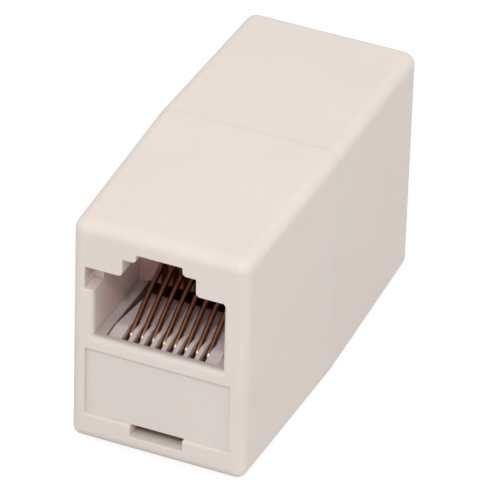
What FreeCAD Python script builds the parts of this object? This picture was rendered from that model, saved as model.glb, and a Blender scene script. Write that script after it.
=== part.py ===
import FreeCAD, Part
import math
import os

os.makedirs("parts", exist_ok=True)

V = FreeCAD.Vector

# An inline coupler that joins two 8-way modular plugs end to end. All sizes are in millimetres.
# X runs across the coupler, Y along it and Z up. The origin is the middle of the underside.
# The shown plug socket faces -Y. Heights named "_Z" below are measured from the coupler's axis,
# depths named "_DEPTH" or "_D" from the plane of the end face, going in.

# The housing: two half shells that meet at mid-length, each one drafted towards its end face
LENGTH = 37.2
DRAFT_DEG = 1.15
OUTER_ROUND = 1.15
JOINT_GAP = 0.02

# The end face, built up from its underside: floor, notch, window, sill, socket, latch channel, roof
FLOOR_WALL = 1.6
NOTCH_HEIGHT = 1.1
WINDOW_HEIGHT = 6.86
SILL_HEIGHT = 1.36
SOCKET_HEIGHT = 6.87
LATCH_HEIGHT = 1.69
LATCH_TOP_HEIGHT = 0.8
ROOF_WALL = 1.92

# The end face across: the socket with a wall on each side, the latch channel's two steps, the notch
SOCKET_WIDTH = 11.9
SOCKET_SIDE_WALL = 2.075
LATCH_WIDTH = 6.7
LATCH_TOP_WIDTH = 4.2
LATCH_CORNER_ROUND = 0.4
NOTCH_WIDTH = 4.85

# The socket's depth and its rounded mouth, and the key slot at its left
SOCKET_DEPTH = 9.4
SOCKET_MOUTH_ROUND = 0.5
KEY_WIDTH = 0.83
KEY_HEIGHT = 2.2
KEY_DEPTH = 2.1

# The end face's thickness at the window, and the walls of the cavity behind it
FACE_WALL = 1.6
SIDE_WALL = 1.325
TOP_WALL = 1.7

# The sill in front of the wire tray, and the strips of socket floor beside the tray
SILL_DEPTH = 0.75
FLOOR_STRIP = 0.82

# The lap joint where the half shells meet
LAP_LENGTH = 1.2
LAP_WALL = 0.75
LAP_GAP = 0.05

# The snap ribs that hold each contact carrier against the end face
SNAP_RIB_HEIGHT = 0.3
SNAP_RIB_LENGTH = 0.9
SNAP_RIB_GAP = 0.1
SNAP_RIB_ABOVE_FLOOR = 2.6
SNAP_RIB_BELOW_DECK = 1.13

# The contact carrier: panel in the window, base under the wire tray, comb wall behind the socket
FIT_GAP = 0.07
PANEL_RECESS = 0.38
PANEL_THICKNESS = 0.9
CARRIER_LEDGE = 1.58
CARRIER_POCKET_DEPTH = 0.53
CARRIER_DECK = 2.13
CARRIER_SIDE = 1.53
CARRIER_WALL = 1.2
COMB_THICKNESS = 2.0
COMB_TOP_GAP = 0.5
COMB_LIFT = 0.18
COMB_SLOT_DEPTH = 1.4
COMB_SLOT_PLAY = 0.15
COMB_SLOT_HEADROOM = 2.88

# The wire tray: a slab on the carrier that falls away both ways and narrows towards the rear.
# Each wire's leg lies in a channel through it, whose front part is open at the top.
TRAY_REAR_GAP = 0.55
TRAY_FALL_DEG = 6.0
TRAY_EDGE_DROP = 0.45
TRAY_EDGE_LENGTH = 1.8
TRAY_SIDE_TAPER = 0.35
TRAY_FLOOR = 0.27
GROOVE_PLAY = 0.1
GROOVE_FRONT_STEP = 0.55
GROOVE_OPEN_D = 4.0

# The spring contact wires
CONTACT_COUNT = 8
CONTACT_PITCH = 1.016
WIRE_RADIUS = 0.25
WIRE_BEND_RADIUS = 0.45
WIRE_BEND_D = 2.95
WIRE_RISE_DEG = 31.5
WIRE_BOW_D = 5.0
WIRE_BOW_RADIUS = 16.0
WIRE_TIP_REACH = 0.88
TAIL_ROW_STEP = 2.0
TAIL_STEP_DEG = 45.0
TAIL_CORNER_RADIUS = 0.8
TAIL_STRAIGHT = 1.44
TAIL_STICK_OUT = 0.7

# The link board that stands at mid-length, and its solder joints
BOARD_THICKNESS = 1.0
BOARD_ABOVE_TAILS = 2.22
BOARD_HOLE_PLAY = 0.075
BOARD_RIB_HEIGHT = 0.8
BOARD_RIB_LENGTH = 1.0
BOARD_CLAMP_GAP = 0.03
SOLDER_SKIRT = 0.195
SOLDER_TOP_WALL = 0.04
SOLDER_HEIGHT = 0.38

# Points nearer than this count as the same place
TOUCH = 1e-6

HALF = LENGTH / 2
BULGE = HALF * math.tan(math.radians(DRAFT_DEG))
END_WIDTH = SOCKET_WIDTH + 2 * SOCKET_SIDE_WALL
END_HEIGHT = (FLOOR_WALL + NOTCH_HEIGHT + WINDOW_HEIGHT + SILL_HEIGHT
              + SOCKET_HEIGHT + LATCH_HEIGHT + LATCH_TOP_HEIGHT + ROOF_WALL)
MID_WIDTH = END_WIDTH + 2 * BULGE
AXIS_Z = END_HEIGHT / 2 + BULGE
CAVITY_WIDTH = END_WIDTH - 2 * SIDE_WALL
CAVITY_TOP_Z = END_HEIGHT / 2 - TOP_WALL
CAVITY_FLOOR_Z = FLOOR_WALL - END_HEIGHT / 2
WINDOW_BOTTOM_Z = CAVITY_FLOOR_Z + NOTCH_HEIGHT
WINDOW_TOP_Z = WINDOW_BOTTOM_Z + WINDOW_HEIGHT
SOCKET_FLOOR_Z = WINDOW_TOP_Z + SILL_HEIGHT
SOCKET_TOP_Z = SOCKET_FLOOR_Z + SOCKET_HEIGHT
LATCH_TOP_Z = SOCKET_TOP_Z + LATCH_HEIGHT
LATCH_ROOF_Z = LATCH_TOP_Z + LATCH_TOP_HEIGHT
TRAY_OPENING_WIDTH = SOCKET_WIDTH - 2 * FLOOR_STRIP
COMB_FRONT_D = SOCKET_DEPTH + FIT_GAP
COMB_REAR_D = COMB_FRONT_D + COMB_THICKNESS
CARRIER_WIDTH = CAVITY_WIDTH - 2 * FIT_GAP
CARRIER_REAR_D = COMB_REAR_D + CARRIER_LEDGE
CARRIER_SHOULDER_Z = WINDOW_TOP_Z - FIT_GAP
CARRIER_POCKET_Z = CARRIER_SHOULDER_Z - CARRIER_POCKET_DEPTH
COMB_BOTTOM_Z = SOCKET_FLOOR_Z + COMB_LIFT
TRAY_FRONT_D = SILL_DEPTH + FIT_GAP
TRAY_REAR_D = COMB_FRONT_D - TRAY_REAR_GAP
BOARD_FRONT_D = HALF - BOARD_THICKNESS / 2

# The bent line of a contact wire, as (depth, height) points of its centre
WIRE_RISE = math.radians(WIRE_RISE_DEG)
WIRE_LEG_Z = CARRIER_POCKET_Z + TRAY_FLOOR + WIRE_RADIUS
WIRE_NOSE = (WIRE_BEND_D - WIRE_BEND_RADIUS, WIRE_LEG_Z + WIRE_BEND_RADIUS)
WIRE_START = (WIRE_BEND_D - WIRE_BEND_RADIUS * math.sin(WIRE_RISE),
              WIRE_NOSE[1] + WIRE_BEND_RADIUS * math.cos(WIRE_RISE))
WIRE_BOW_CENTRE = (WIRE_BOW_D + WIRE_BOW_RADIUS * math.sin(WIRE_RISE),
                   WIRE_START[1] + (WIRE_BOW_D - WIRE_START[0]) * math.tan(WIRE_RISE)
                   - WIRE_BOW_RADIUS * math.cos(WIRE_RISE))
WIRE_TIP_SLOPE = math.asin((WIRE_BOW_CENTRE[0] - COMB_FRONT_D - WIRE_TIP_REACH) / WIRE_BOW_RADIUS)
CONTACT_X = [(i - (CONTACT_COUNT - 1) / 2) * CONTACT_PITCH for i in range(CONTACT_COUNT)]
TAIL_Z = [WIRE_LEG_Z + (TAIL_ROW_STEP if i % 2 == 0 else 0) for i in range(CONTACT_COUNT)]


def block(x0, x1, d0, d1, z0, z1):
    """A box from two sides, two depths from the end face and two heights from the axis."""
    return Part.makeBox(x1 - x0, d1 - d0, z1 - z0, V(x0, d0 - HALF, z0 + AXIS_Z))


def bow_point(slope):
    """The point of a wire's bowed upper end, as (depth, height), where its slope has a given value."""
    return (WIRE_BOW_CENTRE[0] - WIRE_BOW_RADIUS * math.sin(slope),
            WIRE_BOW_CENTRE[1] + WIRE_BOW_RADIUS * math.cos(slope))


def centred(width, d0, d1, z0, z1):
    """A box that is symmetric about the coupler's middle plane."""
    return block(-width / 2, width / 2, d0, d1, z0, z1)


def profile_across(points, width):
    """A solid with a side outline of (depth, height) points and a width across the coupler."""
    corners = [V(-width / 2, d - HALF, z + AXIS_Z) for d, z in points]
    face = Part.Face(Part.makePolygon(corners + corners[:1]))
    return face.extrude(V(width, 0, 0))


def at_rear(shape):
    """The same piece turned half a turn about the vertical, for the other end."""
    turned = shape.copy()
    turned.rotate(V(0, 0, 0), V(0, 0, 1), 180)
    return turned


def edges_where(shape, test):
    """The edges whose two ends both pass a test."""
    return [e for e in shape.Edges if len(e.Vertexes) == 2 and all(test(v.Point) for v in e.Vertexes)]


def drafted_block():
    """The outside of a half shell: a block that narrows from mid-length to its end face, rounded."""
    half_w, half_m = END_WIDTH / 2, MID_WIDTH / 2
    low, high = AXIS_Z - END_HEIGHT / 2, AXIS_Z + END_HEIGHT / 2
    body = Part.makeWedge(-half_w, -HALF, low, low - BULGE, -half_m,
                          half_w, 0, high, high + BULGE, half_m)
    mid_plane = edges_where(body, lambda p: abs(p.y) < TOUCH)
    outer = [e for e in body.Edges if not any(e.isSame(m) for m in mid_plane)]
    return body.makeFillet(OUTER_ROUND, outer)


def socket_void():
    """The room for a plug: the socket, its stepped latch channel and its key slot."""
    room = centred(SOCKET_WIDTH, 0, SOCKET_DEPTH, SOCKET_FLOOR_Z, SOCKET_TOP_Z)
    room = room.fuse(centred(LATCH_WIDTH, 0, SOCKET_DEPTH, SOCKET_FLOOR_Z, LATCH_TOP_Z))
    room = room.fuse(centred(LATCH_TOP_WIDTH, 0, SOCKET_DEPTH, SOCKET_FLOOR_Z, LATCH_ROOF_Z))
    room = room.removeSplitter()

    def step_corner(p):
        steps = ((LATCH_WIDTH, SOCKET_TOP_Z), (LATCH_TOP_WIDTH, LATCH_TOP_Z))
        return any(abs(abs(p.x) - width / 2) < TOUCH and abs(p.z - AXIS_Z - z) < TOUCH for width, z in steps)

    along = [e for e in edges_where(room, step_corner) if e.Length > SOCKET_DEPTH - TOUCH]
    room = room.makeFillet(LATCH_CORNER_ROUND, along)
    key_side = -SOCKET_WIDTH / 2
    key = block(key_side - KEY_WIDTH, key_side, 0, KEY_DEPTH, SOCKET_TOP_Z - KEY_HEIGHT, SOCKET_TOP_Z)
    return room.fuse(key).removeSplitter()


def snap_rib(side):
    """A small ramped rib on a side wall, just behind the contact carrier."""
    wall = side * CAVITY_WIDTH / 2
    front = CARRIER_REAR_D + SNAP_RIB_GAP
    points = [(wall, front), (wall - side * SNAP_RIB_HEIGHT, front), (wall, front + SNAP_RIB_LENGTH)]
    bottom, top = CAVITY_FLOOR_Z + SNAP_RIB_ABOVE_FLOOR, CARRIER_SHOULDER_Z - SNAP_RIB_BELOW_DECK
    corners = [V(x, d - HALF, bottom + AXIS_Z) for x, d in points]
    face = Part.Face(Part.makePolygon(corners + corners[:1]))
    return face.extrude(V(0, 0, top - bottom))


def board_rib(side):
    """A rib on a side wall that clamps one edge of the link board."""
    wall = side * CAVITY_WIDTH / 2
    rear = BOARD_FRONT_D - BOARD_CLAMP_GAP
    x0, x1 = sorted((wall, wall - side * BOARD_RIB_HEIGHT))
    return block(x0, x1, rear - BOARD_RIB_LENGTH, rear, CAVITY_FLOOR_Z, max(TAIL_Z) + BOARD_ABOVE_TAILS)


def half_shell():
    """One end of the housing, open at mid-length, before its half of the lap joint."""
    shell = drafted_block()
    shell = shell.cut(socket_void())
    shell = shell.cut(centred(CAVITY_WIDTH, 0, FACE_WALL, WINDOW_BOTTOM_Z, WINDOW_TOP_Z))
    shell = shell.cut(centred(NOTCH_WIDTH, 0, FACE_WALL, CAVITY_FLOOR_Z, WINDOW_BOTTOM_Z))
    shell = shell.cut(centred(CAVITY_WIDTH, FACE_WALL, SOCKET_DEPTH, CAVITY_FLOOR_Z, WINDOW_TOP_Z))
    shell = shell.cut(centred(TRAY_OPENING_WIDTH, SILL_DEPTH, SOCKET_DEPTH, WINDOW_TOP_Z, SOCKET_FLOOR_Z))
    shell = shell.cut(centred(CAVITY_WIDTH, SOCKET_DEPTH, HALF, CAVITY_FLOOR_Z, CAVITY_TOP_Z))
    shell = shell.removeSplitter()

    def socket_mouth(p):
        in_face = abs(p.y + HALF) < TOUCH
        return in_face and abs(p.x) < SOCKET_WIDTH / 2 + TOUCH and SOCKET_FLOOR_Z - TOUCH < p.z - AXIS_Z

    key_middle = SOCKET_TOP_Z - KEY_HEIGHT / 2
    mouth = [e for e in edges_where(shell, socket_mouth) if e.CenterOfMass.z - AXIS_Z < key_middle]
    shell = shell.makeFillet(SOCKET_MOUTH_ROUND, mouth)
    for side in (-1, 1):
        shell = shell.fuse(snap_rib(side)).fuse(board_rib(side))
    return shell.removeSplitter()


def lap_frame(wall, d0, d1):
    """A rectangular frame that continues the cavity's walls past mid-length, for the lap joint."""
    outside = centred(CAVITY_WIDTH + 2 * wall, d0, d1, CAVITY_FLOOR_Z - wall, CAVITY_TOP_Z + wall)
    return outside.cut(centred(CAVITY_WIDTH, d0, d1, CAVITY_FLOOR_Z, CAVITY_TOP_Z))


def contact_carrier():
    """The moulded base that holds one set of contacts, with its panel, feet and comb wall."""
    panel_bottom = WINDOW_BOTTOM_Z + FIT_GAP
    panel_rear = PANEL_RECESS + PANEL_THICKNESS
    base = centred(CARRIER_WIDTH, PANEL_RECESS, CARRIER_REAR_D, panel_bottom, CARRIER_SHOULDER_Z)
    foot_z = CAVITY_FLOOR_Z + FIT_GAP
    feet_front = FACE_WALL + FIT_GAP
    feet = centred(CARRIER_WIDTH, feet_front, CARRIER_REAR_D, foot_z, panel_bottom)
    comb_top = CAVITY_TOP_Z - COMB_TOP_GAP
    comb = centred(CARRIER_WIDTH, COMB_FRONT_D, COMB_REAR_D, CARRIER_SHOULDER_Z, comb_top)
    carrier = base.fuse([feet, comb]).removeSplitter()
    pocket = centred(TRAY_OPENING_WIDTH, panel_rear, COMB_FRONT_D, CARRIER_POCKET_Z, CARRIER_SHOULDER_Z)
    way_out = centred(TRAY_OPENING_WIDTH, COMB_FRONT_D, CARRIER_REAR_D, CARRIER_POCKET_Z, COMB_BOTTOM_Z)
    hollow_width = CARRIER_WIDTH - 2 * CARRIER_SIDE
    hollow = centred(hollow_width, feet_front + CARRIER_WALL, CARRIER_REAR_D - CARRIER_WALL,
                     foot_z, CARRIER_SHOULDER_Z - CARRIER_DECK)
    notch_room = centred(hollow_width, feet_front, CARRIER_REAR_D, foot_z, panel_bottom)
    for room in (pocket, way_out, hollow, notch_room):
        carrier = carrier.cut(room)
    half_slot = WIRE_RADIUS + COMB_SLOT_PLAY / 2
    slot_top = bow_point(WIRE_TIP_SLOPE)[1] + COMB_SLOT_HEADROOM
    for x in CONTACT_X:
        slot = block(x - half_slot, x + half_slot, COMB_FRONT_D, COMB_FRONT_D + COMB_SLOT_DEPTH,
                     COMB_BOTTOM_Z, slot_top)
        carrier = carrier.cut(slot)
    return carrier.removeSplitter()


def wire_tray():
    """The slab that the wires' lower legs run through, with a sloped front."""
    top = SOCKET_FLOOR_Z
    fall = (TRAY_REAR_D - TRAY_FRONT_D - TRAY_EDGE_LENGTH) * math.tan(math.radians(TRAY_FALL_DEG))
    seat = CARRIER_POCKET_Z
    nose_under = WINDOW_TOP_Z
    nose_rear = PANEL_RECESS + PANEL_THICKNESS + FIT_GAP
    outline = [(TRAY_FRONT_D, nose_under), (TRAY_FRONT_D, top - TRAY_EDGE_DROP),
               (TRAY_FRONT_D + TRAY_EDGE_LENGTH, top), (TRAY_REAR_D, top - fall),
               (TRAY_REAR_D, seat), (nose_rear, seat), (nose_rear, nose_under)]
    tray = profile_across(outline, TRAY_OPENING_WIDTH)
    front_half = TRAY_OPENING_WIDTH / 2 - FIT_GAP
    rear_half = front_half - TRAY_SIDE_TAPER
    plan = [(-front_half, TRAY_FRONT_D), (front_half, TRAY_FRONT_D),
            (rear_half, TRAY_REAR_D), (-rear_half, TRAY_REAR_D)]
    corners = [V(x, d - HALF, seat + AXIS_Z) for x, d in plan]
    tapered = Part.Face(Part.makePolygon(corners + corners[:1])).extrude(V(0, 0, top - seat))
    tray = tray.common(tapered)
    groove_floor = WIRE_LEG_Z - WIRE_RADIUS
    groove_start = WIRE_NOSE[0] - WIRE_RADIUS - FIT_GAP
    groove_roof = WIRE_LEG_Z + WIRE_RADIUS + GROOVE_PLAY / 2
    half_groove = WIRE_RADIUS + GROOVE_PLAY / 2
    for x in CONTACT_X:
        x0, x1 = x - half_groove, x + half_groove
        tray = tray.cut(block(x0, x1, 0, groove_start, groove_floor + GROOVE_FRONT_STEP, SOCKET_TOP_Z))
        tray = tray.cut(block(x0, x1, groove_start, GROOVE_OPEN_D, groove_floor, SOCKET_TOP_Z))
        tray = tray.cut(block(x0, x1, GROOVE_OPEN_D, TRAY_REAR_D, groove_floor, groove_roof))
    return tray.removeSplitter()


def contact_wire(x, tail_z):
    """One spring contact: bowed tip in the comb, long rise, front bend, lower leg, soldered tail."""
    def at(d, z):
        return V(x, d - HALF, z + AXIS_Z)

    end_d = BOARD_FRONT_D + BOARD_THICKNESS + TAIL_STICK_OUT
    bow_middle = bow_point((WIRE_TIP_SLOPE + WIRE_RISE) / 2)
    tip, bow_end = bow_point(WIRE_TIP_SLOPE), bow_point(WIRE_RISE)
    path = [Part.Arc(at(*tip), at(*bow_middle), at(*bow_end)).toShape(),
            Part.makeLine(at(*bow_end), at(*WIRE_START)),
            Part.Arc(at(*WIRE_START), at(*WIRE_NOSE), at(WIRE_BEND_D, WIRE_LEG_Z)).toShape()]
    if tail_z > WIRE_LEG_Z:
        turn, r = math.radians(TAIL_STEP_DEG), TAIL_CORNER_RADIUS
        reach, lift = r * math.sin(turn), r * (1 - math.cos(turn))
        half_reach, half_lift = r * math.sin(turn / 2), r * (1 - math.cos(turn / 2))
        slope = tail_z - WIRE_LEG_Z - 2 * lift
        last_d = BOARD_FRONT_D - TAIL_STRAIGHT
        second_d = last_d - reach
        first_d = second_d - slope / math.tan(turn) - reach
        path += [Part.makeLine(at(WIRE_BEND_D, WIRE_LEG_Z), at(first_d, WIRE_LEG_Z)),
                 Part.Arc(at(first_d, WIRE_LEG_Z), at(first_d + half_reach, WIRE_LEG_Z + half_lift),
                          at(first_d + reach, WIRE_LEG_Z + lift)).toShape(),
                 Part.makeLine(at(first_d + reach, WIRE_LEG_Z + lift), at(second_d, tail_z - lift)),
                 Part.Arc(at(second_d, tail_z - lift), at(last_d - half_reach, tail_z - half_lift),
                          at(last_d, tail_z)).toShape(),
                 Part.makeLine(at(last_d, tail_z), at(end_d, tail_z))]
    else:
        path.append(Part.makeLine(at(WIRE_BEND_D, WIRE_LEG_Z), at(end_d, WIRE_LEG_Z)))
    along = V(0, -math.cos(WIRE_TIP_SLOPE), -math.sin(WIRE_TIP_SLOPE))
    section = Part.Wire([Part.makeCircle(WIRE_RADIUS, at(*tip), along)])
    return Part.Wire(path).makePipeShell([section], True, False)


def link_board():
    """The board at mid-length that joins each contact of one socket to its partner in the other."""
    board = centred(CARRIER_WIDTH, BOARD_FRONT_D, BOARD_FRONT_D + BOARD_THICKNESS,
                    CAVITY_FLOOR_Z + FIT_GAP, max(TAIL_Z) + BOARD_ABOVE_TAILS)
    for x, z in zip(CONTACT_X, TAIL_Z):
        hole = Part.makeCylinder(WIRE_RADIUS + BOARD_HOLE_PLAY, BOARD_THICKNESS * 2,
                                 V(x, -BOARD_THICKNESS, z + AXIS_Z), V(0, 1, 0))
        board = board.cut(hole).cut(at_rear(hole))
    return board


def solder_joints():
    """The solder cones on the far side of the board, around the tails of the front contacts."""
    cones = []
    for x, z in zip(CONTACT_X, TAIL_Z):
        base = V(x, BOARD_THICKNESS / 2, z + AXIS_Z)
        cone = Part.makeCone(WIRE_RADIUS + SOLDER_SKIRT, WIRE_RADIUS + SOLDER_TOP_WALL, SOLDER_HEIGHT,
                             base, V(0, 1, 0))
        cones.append(cone.cut(Part.makeCylinder(WIRE_RADIUS, SOLDER_HEIGHT, base, V(0, 1, 0))))
    return Part.makeCompound(cones)


def main():
    shell = half_shell()
    tongue = lap_frame(LAP_WALL, HALF - JOINT_GAP / 2, HALF + LAP_LENGTH)
    rebate = lap_frame(LAP_WALL + LAP_GAP, HALF - LAP_LENGTH - LAP_GAP, HALF)
    carrier, tray, joints = contact_carrier(), wire_tray(), solder_joints()
    seam = centred(2 * MID_WIDTH, HALF - JOINT_GAP / 2, HALF, -END_HEIGHT, END_HEIGHT)
    pieces = {
        "front_half_shell": shell.cut(seam).fuse(tongue).removeSplitter(),
        "rear_half_shell": at_rear(shell.cut(seam).cut(rebate)),
        "front_contact_carrier": carrier,
        "rear_contact_carrier": at_rear(carrier),
        "front_wire_tray": tray,
        "rear_wire_tray": at_rear(tray),
        "link_board": link_board(),
        "front_solder_joints": joints,
        "rear_solder_joints": at_rear(joints),
    }
    for number, (x, tail_z) in enumerate(zip(CONTACT_X, TAIL_Z), 1):
        wire = contact_wire(x, tail_z)
        pieces["front_contact_%d" % number] = wire
        pieces["rear_contact_%d" % number] = at_rear(wire)
    for name, shape in pieces.items():
        shape.exportStep("parts/%s.step" % name)


main()
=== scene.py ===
"""Dresses an inline coupler for two 8-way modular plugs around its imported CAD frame.

Each visible piece is a surface worked out on a grid, in millimetres, as (x across, depth from an end face,
height from the coupler's axis), and is then placed in the frame for the front or the rear end.
"""

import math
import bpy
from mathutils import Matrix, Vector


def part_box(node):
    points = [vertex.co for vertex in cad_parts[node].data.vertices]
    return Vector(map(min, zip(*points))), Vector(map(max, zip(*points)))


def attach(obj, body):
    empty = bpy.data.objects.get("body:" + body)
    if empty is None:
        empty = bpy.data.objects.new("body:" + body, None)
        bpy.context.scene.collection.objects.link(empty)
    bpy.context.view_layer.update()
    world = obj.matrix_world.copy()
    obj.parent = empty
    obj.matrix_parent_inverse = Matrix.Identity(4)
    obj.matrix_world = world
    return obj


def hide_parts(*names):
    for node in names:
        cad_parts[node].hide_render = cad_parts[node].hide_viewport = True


bl_info = {
    "name": "Inline Coupler",
    "version": (1, 0, 0),
    "blender": (4, 5, 0),
    "location": "View3D > Sidebar > Coupler",
    "description": "Builds the visible pieces of an inline coupler around its CAD frame",
    "category": "Add Mesh",
}

from types import SimpleNamespace

import bmesh
import bpy
import numpy as np
from bpy.props import FloatProperty, FloatVectorProperty, IntProperty, PointerProperty
from mathutils import Matrix, Vector
from mathutils.geometry import delaunay_2d_cdt

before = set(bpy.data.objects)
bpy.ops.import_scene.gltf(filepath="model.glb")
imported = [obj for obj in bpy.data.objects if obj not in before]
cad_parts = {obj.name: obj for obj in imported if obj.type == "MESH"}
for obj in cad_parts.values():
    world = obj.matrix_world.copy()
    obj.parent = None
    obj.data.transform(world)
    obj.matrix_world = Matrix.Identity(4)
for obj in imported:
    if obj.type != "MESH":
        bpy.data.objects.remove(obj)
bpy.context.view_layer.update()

MM = 0.001
ENDS = ("front", "rear")
BODY = "root"

# The shell's box gives the coupler's half length, its axis height and its half sizes at mid-length
SHELL_LOW, SHELL_HIGH = (np.array(corner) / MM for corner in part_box("front_half_shell"))
HALF_LENGTH = -SHELL_LOW[1]
AXIS_Z = (SHELL_LOW[2] + SHELL_HIGH[2]) / 2
MID_HALF = np.array(((SHELL_HIGH[0] - SHELL_LOW[0]) / 2, (SHELL_HIGH[2] - SHELL_LOW[2]) / 2))

# In millimetres: the play of the inner pieces, the skin's least corner radius, the radii of the socket's and
# the window's sharp corners, and how far from a corner an edge's own radius begins
FIT_GAP = 0.07
LEAST_ROUND = 0.05
SHARP_CORNER = 0.06
WINDOW_CORNER = 0.12
EASE = 0.25

# Half the height, in millimetres, over which the painted shade inside the sockets fades in and out
SOFT_EDGE = 0.1

# Points nearer than this, in metres, are one point; edges flatter than this are shaded smooth
WELD = 1e-7
FLAT_ANGLE = math.radians(32)

# Plan points nearer than this, in millimetres, are one point
SAME_PLACE = 1e-5

# Into how many steps edges, the rounded end, corners, bends, straight runs, wires and domes are divided
EDGE_STEPS = 6
END_STEPS = 12
CORNER_STEPS = 8
BEND_STEPS = 16
RUN_STEPS = 8
WIRE_SIDES = 20
DOME_STEPS = 5

# The tray's rows: their depths, in millimetres, where its channels are open, and their number behind that
CHANNEL_ROWS = (2.6, 3.2, 3.7)
REAR_ROWS = 12
LIP_POINTS = 5

# The floor's rings, as shares of its radius, and the number of its sides
FLOOR_RINGS = (0, 0.02, 0.1, 0.5, 1)
FLOOR_SIDES = 64

# The photograph's view, in metres: the camera's place, and its right and down in the coupler's frame
CAMERA_PLACE = Vector((0.155022, -0.372467, 0.273016 + AXIS_Z * MM))
CAMERA_RIGHT = Vector((0.9156, 0.40132, 0.02501))
CAMERA_DOWN = Vector((0.2446, -0.50653, -0.8268))
CAMERA_SHIFT = (0.0047, 0.02217)


# Settings


def amount(name, description, value, **kind):
    """A property with its limits and its unit or subtype."""
    return FloatProperty(name=name, description=description, default=value, **kind)


def length(name, description, millimetres):
    """A length property whose default is given in millimetres."""
    return amount(name, description, millimetres * MM, min=0, precision=5, unit="LENGTH")


def tilt(name, description, degrees):
    """An angle property whose default is given in degrees."""
    return amount(name, description, math.radians(degrees), subtype="ANGLE")


def tone(name, description, colour):
    """A colour property, in linear light."""
    return FloatVectorProperty(name=name, description=description, default=colour,
                               size=3, min=0, max=1, subtype="COLOR")


def portion(name, description, value):
    """A property from nothing to all."""
    return amount(name, description, value, min=0, max=1, subtype="FACTOR")


class HousingSettings(bpy.types.PropertyGroup):
    draft: tilt("Draft", "Slope of the sides towards the end face", 1.15)
    outer_round: length("Outer rounding", "Radius of the housing's outside edges", 1.1)
    corner_round: length("Corner rounding", "Radius of the upper long edges", 1.15)
    foot_round: length("Foot rounding", "Radius of the lower long edges", 0.85)
    joint_gap: length("Joint gap", "Width of the line between the two half shells", 0.002)
    joint_round: length("Joint rounding", "Radius of the edges at the joint", 0.003)
    face_wall: length("Face wall", "Thickness of the end face at the window", 1.6)
    socket_width: length("Socket width", "Width of the plug socket", 11.9)
    socket_height: length("Socket height", "Height of the socket without its latch channel", 6.87)
    socket_floor: length("Socket floor", "How far its floor lies under the axis", 0.18)
    socket_depth: length("Socket depth", "Depth of the plug socket", 9.4)
    latch_width: length("Latch width", "Width of the latch channel", 6.7)
    latch_height: length("Latch height", "Height of the latch channel's first step", 1.69)
    latch_top_width: length("Latch top width", "Width of the latch channel's upper step", 4.2)
    latch_top_height: length("Latch top height", "Height of the latch channel's upper step", 0.8)
    latch_corner: length("Latch corner", "Radius of the steps' corners", 0.4)
    key_width: length("Key width", "How far the key slot reaches beside the socket", 0.83)
    key_height: length("Key height", "Height of the key slot", 2.2)
    key_depth: length("Key depth", "Depth of the key slot", 2.1)
    window_width: length("Window width", "Width of the window", 13.4)
    window_height: length("Window height", "Height of the window", 6.86)
    sill_height: length("Sill height", "Height of the bar between window and socket", 1.36)
    sill_depth: length("Sill depth", "Depth of that bar", 0.75)
    strip_width: length("Strip width", "Width of the socket floor beside the tray", 0.82)
    notch_width: length("Notch width", "Width of the release notch", 4.85)
    notch_height: length("Notch height", "Height of the release notch", 1.1)
    top_wall: length("Top wall", "Thickness of the top over the cavity", 1.7)
    mouth_round: length("Mouth rounding", "Radius of the socket's lower and side edges", 0.5)
    edge_round: length("Edge rounding", "Radius of the other edges in the end face", 0.1)
    window_round: length("Window rounding", "Radius of the window's and the notch's edges", 0.08)
    lap_length: length("Lap length", "Length of the tongue inside the joint", 1.2)
    lap_wall: length("Lap wall", "Thickness of the tongue inside the joint", 0.75)
    lap_gap: length("Lap gap", "Clearance round the tongue", 0.05)
    colour: tone("Colour", "The housing's plastic", (0.80, 0.73, 0.685))
    roughness: portion("Roughness", "The housing's satin finish", 0.46)


class CarrierSettings(bpy.types.PropertyGroup):
    recess: length("Panel recess", "How far the panel lies behind the end face", 0.38)
    panel_thickness: length("Panel thickness", "Thickness of the panel in front of the tray", 0.9)
    panel_gap: length("Panel gap", "Fine gap round the panel in its window", 0.002)
    panel_round: length("Panel rounding", "Radius of the panel's edges", 0.01)
    panel_corner: length("Panel corner", "Radius of the panel's corners", 0.1)
    pocket_depth: length("Pocket depth", "How deep the tray sits in the carrier", 0.53)
    deck: length("Deck", "Thickness of the carrier over its hollow", 2.13)
    side: length("Side", "Thickness of the feet", 1.53)
    wall: length("Wall", "Thickness of the carrier's front and rear walls", 1.2)
    ledge: length("Ledge", "Length of the carrier behind the comb", 1.58)
    comb_thickness: length("Comb thickness", "Thickness of the comb wall", 2.0)
    comb_top_gap: length("Comb top gap", "Gap over the comb wall", 0.5)
    comb_lift: length("Comb lift", "Height of the teeth over the floor", 0.18)
    slot_width: length("Slot width", "Width of the comb's slots", 0.65)
    slot_depth: length("Slot depth", "Depth of the comb's slots", 1.4)
    slot_headroom: length("Slot headroom", "Room over the contacts' tips", 2.88)
    colour: tone("Colour", "The carrier's plastic", (0.77, 0.71, 0.675))
    roughness: portion("Roughness", "The carrier's satin finish", 0.5)


class TraySettings(bpy.types.PropertyGroup):
    rear_gap: length("Rear gap", "Gap between the tray and the comb", 0.55)
    fall: tilt("Fall", "Slope of the tray's top, down towards the comb", 6)
    edge_drop: length("Edge drop", "How far the tray's sloped front falls", 0.42)
    edge_length: length("Edge length", "Length of the tray's sloped front", 1.8)
    side_taper: length("Side taper", "How far each side draws in to the rear", 0.35)
    groove_width: length("Groove width", "Width of the wire channels", 0.6)
    groove_step: length("Groove step", "Height of the channels' shallow front ends", 0.55)
    groove_open: length("Groove open", "Depth to which the channels are open", 4.0)
    groove_head: length("Groove head", "Clearance over the wires where closed", 0.05)
    groove_round: length("Groove rounding", "Radius of the grooves' edges", 0.04)
    colour: tone("Colour", "The tray's plastic", (0.73, 0.66, 0.66))
    roughness: portion("Roughness", "The tray's finish", 0.42)


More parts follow.
